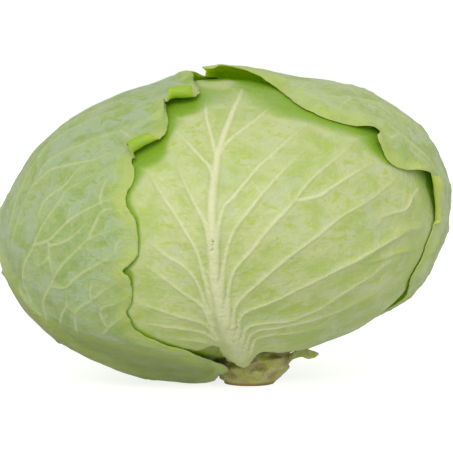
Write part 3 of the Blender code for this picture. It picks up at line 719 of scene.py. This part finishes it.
def inside_finish(name, dark, bright, sunlit):
    """The inner face of a leaf: a clear saturated green without bloom, and another green where it rolls out,
    painted as the light falling on it there.
    """
    material, nodes, shader, place = new_material(name, 0.5)
    mottle = noise_at(place, 140.0, 5.0)["Fac"]
    colour = mix_colour(ramp(mottle, 0.38, 0.62), dark, bright)
    # Painted light: where the inner face rolls outwards it takes the sunlit green of a face turned to the
    # lamps
    colour = mix_colour(attribute(nodes, "rolled"), colour, sunlit)
    colour = mix_colour(ramp(attribute(nodes, "vein"), 0.2, 0.9, 0.0, 0.4), colour, (0.40, 0.52, 0.12))
    link(colour, shader.inputs["Base Color"])
    # Daylight comes through the thin blade from its other side
    let_light_through(shader, 0.75, (0.85, 1.0, 0.05), 0.005)
    add_bump(shader, mottle, 0.0005, 0.5)
    return material


def along(path, shares):
    """Directions at shares of the length of a path on the head."""
    path = unit(path)
    steps = np.linalg.norm(np.diff(path, axis=0), axis=1)
    places = np.concatenate([[0], np.cumsum(steps)]) / steps.sum()
    return unit(np.stack([np.interp(shares, places, path[:, i]) for i in range(3)], axis=-1))


def sweeping_ribs(midrib, edge, starts, reach):
    """Side ribs from shares up a midrib, sweeping up towards one edge of the leaf."""
    ribs = []
    for start in starts:
        foot, end = along(midrib, start), along(edge, min(start * 0.62 + 0.34, 1))
        bend = unit(foot * 0.55 + end * 0.45 + (along(midrib, start + 0.04) - foot) * 0.5)
        ribs.append([foot, bend, unit(foot * (1 - reach) + end * reach)])
    return ribs


RIGHT_LOW = [at(150, -76.5), at(142, -66), at(126, -58), at(106, -51), at(90, -44), *traced((412, 287),
             (419, 274), (426, 261), (430, 250), (434, 240), (438, 228), (437, 217), (432, 203),
             (427.5, 190), (425, 181), (427, 175), (414, 170), (399, 165), (384, 149), (376, 138),
             (378, 130), (361, 125), (330, 115), (309, 106), (298, 99), (283, 88), (272, 82), (250, 76),
             (224, 73)), at(9, 68), at(4, 69), at(2, 74), at(8, 81)]
RIGHT_MIDRIB = [at(150, -76.5), at(138, -55), at(130, -25), at(130, 5), at(132, 35), at(140, 60), at(180, 78)]
RIGHT_HIGH = [at(164, -77), at(176, -64), at(188, -40), at(192, -5), at(197, 25), at(205, 50),
              at(212, 64), at(203, 74), at(186, 81)]
RIGHT_OUTLINE = np.array(RIGHT_LOW + RIGHT_HIGH[::-1])
# The next leaf's outline is needed already, because this one's edge lies close on it
LEFT_HIGH = [at(-50, -80.5), at(-27, -79.5), at(-17, -77), *traced((224, 369), (187, 357), (158, 347),
             (135, 335), (131, 329), (125, 316), (129, 310), (130, 300), (130, 287), (127, 277), (121, 273),
             (129, 266), (135, 258), (137, 249), (137, 240), (136, 229), (134, 219), (127, 209), (124, 199),
             (126, 188), (133, 172), (131.5, 158), (136, 160.5), (143, 160), (151, 156), (158, 149),
             (161, 141), (165, 133), (168, 121), (167.5, 110), (166, 103), (171, 107), (180, 108),
             (190, 105), (196, 96), (199, 88), (196, 82)), at(-4, 69), at(-7, 75), at(2, 81), at(60, 85),
             at(140, 82)]
LEFT_MIDRIB = [at(-76, -80), at(-68, -66), at(-66, -52), at(-68, -35), at(-71, -13), at(-80, 8),
               at(-95, 30), at(-115, 52), at(-150, 70)]
LEFT_LOW = [at(-110, -79.5), at(-140, -78), at(-160, -66), at(-172, -42), at(-180, -15), at(-184, 12),
            at(-184, 38), at(-184, 58), at(-184, 68)]
LEFT_OUTLINE = np.array(LEFT_LOW[::-1] + LEFT_HIGH)
right_finish = leaf_finish("right_leaf_green", (0.36, 0.48, 0.12), (0.47, 0.57, 0.21), (0.56, 0.63, 0.30),
                           (0.47, 0.57, 0.13), (0.50, 0.59, 0.34), 0.65, (0.36, 0.49, 0.08), 3)
deep_inside = inside_finish("leaf_inside_deep", (0.27, 0.50, 0.008), (0.36, 0.60, 0.016),
                            (0.46, 0.54, 0.16))
bright_inside = inside_finish("leaf_inside_bright", (0.28, 0.47, 0.016), (0.40, 0.56, 0.04),
                              (0.30, 0.48, 0.025))
right_ribs = sweeping_ribs(RIGHT_MIDRIB, RIGHT_LOW, (0.10, 0.24, 0.38, 0.52, 0.66), 0.86)
right_ribs += sweeping_ribs(RIGHT_MIDRIB, RIGHT_HIGH, (0.16, 0.34, 0.52), 0.80)
HOOD_RIBS = (
    ((432, 168), (418, 150), (400, 133), (384, 122), (370, 117), (350, 112)),
    ((420, 130), (400, 115), (378, 104), (352, 98), (330, 97), (306, 94)),
    ((384, 97), (360, 88), (334, 84), (308, 83), (284, 80), (262, 75)),
    ((444, 200), (440, 184), (432, 168)),
    ((400, 133), (392, 138), (386, 143)),
    ((352, 98), (344, 104), (338, 110)),
    ((308, 83), (300, 88), (292, 91)),
)
right_ribs += [traced(*path) for path in HOOD_RIBS]
make_leaf("right_leaf", 0, RIGHT_OUTLINE, RIGHT_MIDRIB,
          (0.0105, 0.0085, 0.0060, 0.0040, 0.0025, 0.0012), (0.0020, 0.0017, 0.0013, 0.0009, 0.0005, 0.0003),
          right_ribs, (),
          ((seen(236, 73), 0.020, 0.0032), (at(4, 71), 0.008, 0.0012), (seen(426, 177), 0.010, 0.0022),
           (seen(374, 133), 0.008, 0.0014)),
          (right_finish, deep_inside), 11, pucker=0.0007, grain=0.00115,
          curls=((seen(428, 176.5), seen(441, 221), 0.0017, 0.0150),), rib_size=(0.0022, 0.0006), puff=0.0003,
          over=(LEFT_OUTLINE,))


# The left leaf wraps the left side and sags to the table, its thick stalk along the lower left.
# Its bloom is bluish, its ribs are pale yellow, and its torn edge over the front leaf is yellow-green.
# Two corners of that edge curl outwards and show the bright green inside.
LEFT_STALK = np.array(
    traced((4, 222), (6, 240), (10, 258), (14, 275), (20, 293), (31, 308), (43, 318), (58, 327), (75, 335),
           (90, 340), (107, 346), (140, 352), (175, 360), (205, 367))
    + [at(-60, -83), at(-88, -76), at(-102, -62), at(-106, -45), at(-110, -25), at(-110, -5), at(-104, 14)])
left_finish = leaf_finish("left_leaf_green", (0.29, 0.42, 0.11), (0.40, 0.51, 0.19), (0.56, 0.62, 0.29),
                          (0.48, 0.57, 0.13), (0.40, 0.51, 0.30), 0.80, (0.29, 0.44, 0.07), 7,
                          stalk=(0.27, 0.33, 0.075))
LEFT_RIBS = (
    ((30, 303), (22, 288), (20.4, 277), (21.9, 266), (30.6, 248.6), (34, 238.8), (39.3, 228), (46.4, 216.4),
     (53.6, 206.6), (59, 198.6), (66, 188), (76.8, 182.5), (85.7, 176), (97.3, 171.8), (105.4, 167.3),
     (119, 161)),
    ((36, 216), (42.9, 200.4), (53.6, 191.4), (64.3, 183), (72, 172), (80.4, 165.5), (96, 160)),
    ((29, 251), (31, 246.5), (39.3, 243.7), (47.3, 240.5), (57, 230.7), (67.9, 220), (76.8, 213.8),
     (87.5, 208.4), (98.2, 203), (111.6, 197.7), (124, 190.5)),
    ((46.4, 242), (46.9, 250.6), (46.4, 257.8), (40.8, 264.9), (35.7, 268)),
    ((47, 257), (50, 271), (51, 280.2)),
    ((47, 246), (57, 244.3), (70.4, 237.3), (80.6, 227.7), (85.7, 218)),
    ((86.7, 239.9), (94.6, 222.7), (102.7, 210.2), (118.8, 209)),
    ((99, 203), (100, 191.4), (103.6, 182.5), (108, 172)),
    ((48, 325), (42.9, 311.8), (41.3, 306.7), (42.9, 299.6), (46.9, 290.4), (51, 282.2), (57, 271),
     (65.3, 260.8), (76.5, 249.6), (86.7, 239.9), (98, 235.3), (110.2, 231.2), (122.4, 226), (133, 221)),
    ((48, 288), (63.3, 289.4), (71.4, 282.2), (81.6, 274), (93.9, 266.9), (106, 259.8), (114.3, 254.7),
     (126, 254)),
    ((114.3, 254.7), (115.3, 245.5), (122.4, 239.4)),
    ((58.7, 329), (61.2, 314.9), (65.3, 307.8), (64.8, 299.6), (63.8, 290.4)),
    ((65.3, 307.8), (71.4, 312.9), (74, 315.4)),
    ((77, 341), (75.5, 333.8), (74.5, 324), (74, 314.9), (79.6, 308.8), (89.8, 302.7), (100, 294.5),
     (111.2, 287.3), (122.4, 280.2)),
    ((89.8, 302.7), (88.8, 294.5), (91.8, 281.2)),
    ((102, 336), (107, 330), (100.5, 320), (101, 309.8), (112, 306.7), (125.5, 301.6)),
    ((107, 330), (115.3, 324), (124, 320)),
    ((100.5, 322), (109, 317)),
    ((28, 189), (40, 176), (49, 168.2), (62.5, 164.6), (76.8, 161), (89.3, 159.3), (100.9, 154.8),
     (113.4, 150.4), (125, 145), (131, 142)),
    ((9, 248), (12, 230), (18, 210), (24, 197), (30.4, 185), (36.6, 175.4), (42, 163.8), (50, 156.6),
     (58, 151.3), (66, 147.7), (74, 144.6), (82, 141.4), (91, 137), (100.9, 134.3), (110.7, 131.6),
     (121.4, 127), (130.4, 122.7), (141, 118), (153, 113.5), (165, 108)),
    ((119.6, 128), (126, 134), (131, 140)),
    ((6, 232), (10, 213), (17, 190), (26, 172), (35, 157), (43, 145), (51, 139), (60.7, 132.5), (72, 125.8),
     (91.9, 116.6), (116, 107.4), (137.8, 101.3), (156, 97)),
    ((52, 132), (66, 122), (84, 112), (108, 102), (132, 94), (160, 87), (184, 86)),
)
left_ribs = [traced(*path) for path in LEFT_RIBS]
left_ribs += sweeping_ribs(LEFT_MIDRIB, LEFT_LOW, (0.10, 0.26, 0.42, 0.60), 0.84)
make_leaf("left_leaf", 1, LEFT_OUTLINE, LEFT_MIDRIB,
          (0.0105, 0.0100, 0.0092, 0.0080, 0.0060, 0.0042, 0.0030, 0.0020, 0.0010),
          (0.0022, 0.0024, 0.0024, 0.0020, 0.0014, 0.0010, 0.0007, 0.0005, 0.0003),
          left_ribs, (RIGHT_OUTLINE,),
          ((seen(146, 146), 0.011, 0.0022), (seen(178, 98), 0.012, 0.0030), (at(-16, 76), 0.010, 0.0028),
           (seen(125, 272), 0.008, 0.0010), (at(-50, -77), 0.013, 0.0026), (at(-130, -68), 0.034, 0.0042)),
          (left_finish, bright_inside), 23, wave=0.0006, grain=0.00112, rib_size=(0.0018, 0.00060),
          curls=((*traced((131, 151), (158, 138)), 0.0020, 0.0100),
                 (*traced((171.5, 99), (202, 95)), 0.0023, 0.0160)),
          stalk=LEFT_STALK, rise=0.004, shades=((seen(190, 77), 0.009, 0.020),),
          folds=((traced((173, 73), (180, 76), (190, 79)), 0.0012, -0.0011),
                 (traced((179, 70), (187, 73), (194, 76)), 0.0020, 0.0016),
                 (traced((137, 118), (147, 111), (159, 105)), 0.0020, -0.0014),
                 (traced((133, 124), (147, 117), (165, 110)), 0.0020, 0.0010)))


# The front leaf covers the whole front: pale yellow-green, with a broad pale midrib that forks near the top.
# Its side ribs leave the midrib's flanks and sweep up to both sides.
# Two creases cross it near its right edge.
FRONT_LOW = [*traced((233, 370), (222, 361), (216, 353), (195, 360)), at(-38, -60), at(-55, -46),
             at(-64, -20), at(-64, 8), at(-58, 34), at(-45, 56), at(-24, 75), at(0, 83)]
FRONT_MIDRIB = [*traced((239, 370), (238, 352), (226, 325), (217, 294), (213, 250), (212, 200), (217, 152),
                (220, 144.6), (223, 133.8), (228.5, 118.6), (235, 101), (242, 84))]
FRONT_HIGH = [*traced((246, 365), (257, 357), (268, 354), (286, 353), (302, 350)), at(62, -70), at(80, -66),
              at(93, -60), at(92, -52), at(87, -43), at(82, -34), at(82, -24), at(82, -14), at(80, -4),
              at(73, 14), at(64, 32), at(53, 52), at(42, 72)]
FRONT_OUTLINE = np.array(FRONT_LOW[::-1] + FRONT_HIGH)
front_finish = leaf_finish("front_leaf_green", (0.44, 0.55, 0.15), (0.56, 0.62, 0.27), (0.73, 0.75, 0.44),
                           (0.55, 0.62, 0.20), (0.54, 0.61, 0.35), 0.45, (0.44, 0.56, 0.09), 5, 0.40, 0.08)
FRONT_RIBS = (
    ((212, 196), (212, 178), (209, 164), (202.4, 156.5), (193.8, 146.8), (185, 137), (176.4, 128.3),
     (169.9, 120.7)),
    ((211, 262), (208, 238), (203, 220), (193, 201), (188, 190), (181.8, 177), (176, 163)),
    ((212, 316), (207, 292), (202, 272), (196, 252), (184, 231), (172, 211), (165, 201), (156.9, 188),
     (151.5, 178), (147, 167.4), (143.9, 162), (136, 155)),
    ((214, 330), (206, 310), (202, 298), (197, 286), (184, 270), (165, 258), (147, 242), (138, 230)),
    ((217, 341), (210, 328), (206, 317), (200, 309), (184, 298), (157, 278), (137, 265)),
    ((220, 347), (213, 338), (205, 329.5), (191.8, 325), (173.5, 320), (150.5, 312), (131, 305)),
    ((222, 352), (215, 345), (206, 339.5), (185.7, 335), (161, 332), (131.4, 327.6)),
    ((222, 356), (214, 351), (203, 347), (182, 345.5), (162, 344)),
    ((214, 290), (216, 262), (218, 235), (224, 207), (231.7, 198.8), (244.7, 182.6), (260, 164),
     (271.8, 153.3), (290, 136), (306, 123), (318, 114)),
    ((221, 308), (223, 280), (228, 250), (236, 229), (246, 216), (263.6, 193), (284.5, 169), (302, 151.5),
     (314, 142.8)),
    ((228, 334), (228, 312), (230, 290), (236, 272), (251, 255), (268.9, 231.6), (291.5, 207),
     (312.4, 179.4), (331.6, 162), (354, 142.8), (366, 131)),
    ((233, 342), (233, 322), (237, 310), (246, 299), (264, 283), (291, 260), (319, 238.6), (347, 216),
     (373.4, 200.3), (389, 188), (402, 176)),
    ((297, 200), (306, 199), (316, 197), (325, 194), (333, 188), (354, 174), (377, 160)),
    ((424, 188), (418, 196), (411.7, 209), (396, 214), (386, 219)),
    ((238, 348), (238, 332), (242, 321), (253, 314), (277, 305), (304, 292), (337, 275), (363, 261),
     (389, 245), (412, 233), (430, 228)),
    ((242, 352), (243, 338), (252, 331), (268.4, 328), (291, 326), (318, 316), (345, 299), (372, 282),
     (399, 261), (412, 252)),
    ((245, 356), (248, 343), (260, 335.5), (280, 332.5), (304, 328), (339, 317), (364, 305), (388, 291)),
    ((249, 357), (256, 345), (270, 340), (296, 337), (322, 331)),
    ((217, 154), (214.6, 148), (212, 136), (209, 124), (205.7, 112), (205, 98), (203.5, 86)),
    ((218, 154), (222, 146.8), (228.5, 138), (239.3, 128.3), (252.3, 118.6), (266.4, 106.6), (279, 97)),
)
FRONT_FOLDS = (
    ([(330, 279), (350, 268), (371, 259), (381, 250), (391, 245), (410, 232), (433, 227)], 0.0020, 0.0013),
    ([(369, 267), (381, 264), (406, 254), (417, 253), (429, 250), (434, 250)], 0.0017, 0.0012),
)
front_folds = [(traced(*path), width, height) for path, width, height in FRONT_FOLDS]
make_leaf("front_leaf", 2, FRONT_OUTLINE, FRONT_MIDRIB,
          (0.0130, 0.0125, 0.0095, 0.0072, 0.0055, 0.0043, 0.0034, 0.0029, 0.0024, 0.0016),
          (0.0036, 0.0036, 0.0032, 0.0026, 0.0020, 0.0016, 0.0013, 0.0011, 0.0009, 0.0005),
          [traced(*path) for path in FRONT_RIBS], (RIGHT_OUTLINE, LEFT_OUTLINE),
          ((at(40, -70), 0.020, 0.0030), (at(70, -62), 0.022, 0.0020)),
          (front_finish, bright_inside), 37, folds=front_folds,
          wave=0.0007, grain=0.00103, pucker=0.00035, rib_size=(0.0020, 0.0010), rise=0.012,
          shades=((seen(178, 108), 0.016, 0.0060), (seen(146, 158), 0.013, 0.0060),
                  (seen(225, 84), 0.022, 0.0030), (seen(264, 90), 0.026, 0.0260),
                  (seen(305, 108), 0.018, 0.0070), (seen(340, 120), 0.018, 0.0060),
                  (seen(370, 136), 0.020, 0.0060), (seen(428, 202), 0.026, -0.0065),
                  (seen(127, 196), 0.010, 0.0022), (seen(126, 268), 0.007, 0.0025),
                  (seen(160, 350), 0.020, 0.0016)))


# Under them lie three more leaves: one beneath the front leaf, painted a dark olive for the shade it lies in,
# whose edge shows at the lower right and beside the stalk, a pale one round the right side, and one closing
# the back above the stem.
UNDER_LOW = [at(-12, -76), at(-32, -66), at(-44, -48), at(-46, -22), at(-44, 4), at(-34, 26), at(-10, 40)]
UNDER_HIGH = [at(38, -76), at(72, -68), at(104, -56), at(116, -34), at(112, -10), at(98, 8), at(72, 25),
              at(40, 40)]
UNDER_MIDRIB = [at(14, -76), at(20, -60), at(27, -33), at(31, -5), at(30, 20)]
UNDER_OUTLINE = np.array(UNDER_LOW[::-1] + UNDER_HIGH)
SIDE_LOW = [at(74, -76), at(58, -64), at(46, -42), at(44, -15), at(48, 12), at(60, 34)]
SIDE_MIDRIB = [at(92, -76), at(94, -50), at(95, -20), at(95, 10), at(95, 30)]
SIDE_HIGH = [at(108, -76), at(130, -62), at(146, -42), at(150, -15), at(146, 12), at(130, 34)]
SIDE_OUTLINE = np.array(SIDE_LOW[::-1] + SIDE_HIGH)
BACK_LOW = [at(168, -77), at(158, -66), at(154, -42), at(153, -15), at(158, 8), at(170, 28)]
BACK_MIDRIB = [at(188, -76.5), at(192, -52), at(193, -22), at(193, 8), at(193, 26)]
BACK_HIGH = [at(208, -77), at(226, -66), at(236, -42), at(238, -15), at(230, 8), at(214, 28)]
BACK_OUTLINE = np.array(BACK_LOW[::-1] + BACK_HIGH)
ABOVE = (RIGHT_OUTLINE, LEFT_OUTLINE, FRONT_OUTLINE)
SMALL_WIDTHS, SMALL_HEIGHTS = (0.008, 0.006, 0.003), (0.0006, 0.0005, 0.0003)
# Painted shade: this under leaf is darkened to the olive of the deep gaps where its edge shows
olive_painted_shade_finish = leaf_finish("olive_leaf_painted_shade", (0.22, 0.29, 0.025), (0.32, 0.38, 0.05), (0.38, 0.43, 0.09),
                           (0.24, 0.33, 0.02), (0.30, 0.36, 0.08), 0.2, (0.20, 0.30, 0.02), 13)
side_finish = leaf_finish("pale_side_leaf", (0.38, 0.49, 0.18), (0.48, 0.57, 0.25), (0.56, 0.62, 0.32),
                          (0.44, 0.54, 0.16), (0.47, 0.56, 0.34), 0.6, (0.38, 0.50, 0.12), 17)
for node, layer, outline, midrib, edge, starts, covers, finish, seed, grain in (
        ("under_leaf", 3, UNDER_OUTLINE, UNDER_MIDRIB, UNDER_HIGH, (0.15, 0.35, 0.55), ABOVE,
         olive_painted_shade_finish, 41, 0.0020),
        ("side_leaf", 4, SIDE_OUTLINE, SIDE_MIDRIB, SIDE_LOW, (0.15, 0.35), ABOVE + (UNDER_OUTLINE,),
         side_finish, 43, 0.0020),
        ("back_leaf", 3, BACK_OUTLINE, BACK_MIDRIB, BACK_LOW, (0.15, 0.35), ABOVE,
         left_finish, 47, 0.0018)):
    ribs = sweeping_ribs(midrib, edge, starts, 0.85)
    make_leaf(node, layer, outline, midrib, SMALL_WIDTHS, SMALL_HEIGHTS, ribs, covers, (),
              (finish, bright_inside), seed, wave=0.0, grain=grain, twigs=False)


# The torn stalk: a ragged scrap left where an outer leaf was pulled off beside the stem.
# It is a smooth pale green beak with a fibrous torn tip.
SCRAP = ((0.0192, 0.0122), (0.0200, 0.0152), (0.0268, 0.0178), (0.0300, 0.0166), (0.0336, 0.0152),
         (0.0330, 0.0138), (0.0290, 0.0124), (0.0252, 0.0136))
SCRAP_THICKNESS, SCRAP_GRAIN = 0.0014, 0.0003
# It stands out sideways from its foot at the stem, a little further back towards its tip
SCRAP_FOOT, SCRAP_FRONT, SCRAP_TURN = 0.0218, -0.0068, 0.25
ragged = smooth_path(np.array(SCRAP), 0.0004, closed=True)
flat = np.concatenate([ragged, np.zeros((len(ragged), 1))], axis=1)
middle = ragged.mean(0)
ragged = middle + (ragged - middle) * (1 + 0.035 * rough(flat, 0.0016, 61, 3))[:, None]
grid = np.meshgrid(np.arange(0.0215, 0.034, SCRAP_GRAIN), np.arange(0.012, 0.0182, SCRAP_GRAIN))
grid = np.stack(grid, axis=-1).reshape(-1, 2)
grid = grid[inside(grid, ragged) > 0.0002]
flat, faces = fill(ragged, grid, 1e-8)
scrap_back = SCRAP_FRONT + SCRAP_TURN * (flat[:, 0] - SCRAP_FOOT)
scrap_points = np.stack([flat[:, 0], scrap_back, flat[:, 1]], axis=1)
scrap_points[:, 1] += 0.0002 * rough(scrap_points, 0.0025, 67, 3)
scrap_finish, _, shader, place = new_material("torn_stalk", 0.6)
fibre = ramp(noise_at(place, 500.0, 4.0)["Fac"], 0.35, 0.65)
link(mix_colour(fibre, (0.36, 0.42, 0.08), (0.50, 0.54, 0.18)), shader.inputs["Base Color"])
scrap = mesh_object("torn_stalk_scrap", scrap_points, faces, scrap_finish)
blade = scrap.modifiers.new("blade", "SOLIDIFY")
blade.thickness = SCRAP_THICKNESS
blade.offset = 0.0
worked_in(scrap)
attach(scrap, "root")
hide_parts("torn_stalk")


# The setting: a plain white table under broad soft light, seen from the front and a little above.
floor_mesh = bpy.data.meshes.new("floor")
round_floor = bmesh.new()
bmesh.ops.create_circle(round_floor, cap_ends=True, segments=96, radius=3.0)
round_floor.to_mesh(floor_mesh)
round_floor.free()
floor = bpy.data.objects.new("floor", floor_mesh)
bpy.context.scene.collection.objects.link(floor)
floor_finish, nodes, shader, _ = new_material("white_table", 0.9)
# A light table: it glows softly from below, and reads as plain white
sight = nodes.new("ShaderNodeLightPath")
glow = mix_colour(sight.outputs["Is Camera Ray"], (0.26, 0.26, 0.26), (0.80, 0.80, 0.80))
link(glow, shader.inputs["Emission Color"])
shader.inputs["Emission Strength"].default_value = 1.0
shader.inputs["Base Color"].default_value = (0.5, 0.5, 0.5, 1)
shader.inputs["Specular IOR Level"].default_value = 0.0
floor_mesh.materials.append(floor_finish)

world = bpy.data.worlds.new("studio")
bpy.context.scene.world = world
world.use_nodes = True
nodes = world.node_tree.nodes
backdrop = nodes["Background"]
backdrop.inputs["Color"].default_value, backdrop.inputs["Strength"].default_value = (1, 1, 1, 1), 1.0
sky = add_node(nodes, "ShaderNodeBackground", {"Color": (1, 1, 1, 1), "Strength": 0.60})
sight = nodes.new("ShaderNodeLightPath")
choice = {"Fac": sight.outputs["Is Camera Ray"], 1: sky.outputs[0], 2: backdrop.outputs[0]}
choice = add_node(nodes, "ShaderNodeMixShader", choice)
link(choice.outputs[0], nodes["World Output"].inputs["Surface"])

for name, spot, spread, power in (
        ("key", (-0.12, -0.95, 0.62), 40, 1.45),
        ("top", (0.20, 0.25, 1.30), 60, 0.12)):
    light = bpy.data.lights.new(name, "SUN")
    light.angle, light.energy = radians(spread), power
    lamp = bpy.data.objects.new(name, light)
    lamp.location = spot
    lamp.rotation_euler = (Vector((0, 0, 0.08)) - Vector(spot)).to_track_quat("-Z", "Y").to_euler()
    bpy.context.scene.collection.objects.link(lamp)

lens = bpy.data.cameras.new("camera")
lens.sensor_width = 36.0
lens.lens = lens.sensor_width * VIEW_PIXELS / VIEW_SIZE
lens.clip_end = 20.0
camera = bpy.data.objects.new("camera", lens)
side_step = (VIEW_SIZE / 2 - VIEW_CENTRE[0]) / VIEW_PIXELS * VIEW_DISTANCE
drop = (VIEW_SIZE / 2 - VIEW_CENTRE[1]) / VIEW_PIXELS * VIEW_DISTANCE
camera.location = CENTRE + VIEW_BACK * VIEW_DISTANCE + VIEW_RIGHT * side_step - VIEW_UP * drop
camera.rotation_euler = (radians(90 - VIEW_DOWN), 0, 0)
bpy.context.scene.collection.objects.link(camera)
bpy.context.scene.camera = camera
bpy.context.scene.view_settings.view_transform = "Standard"
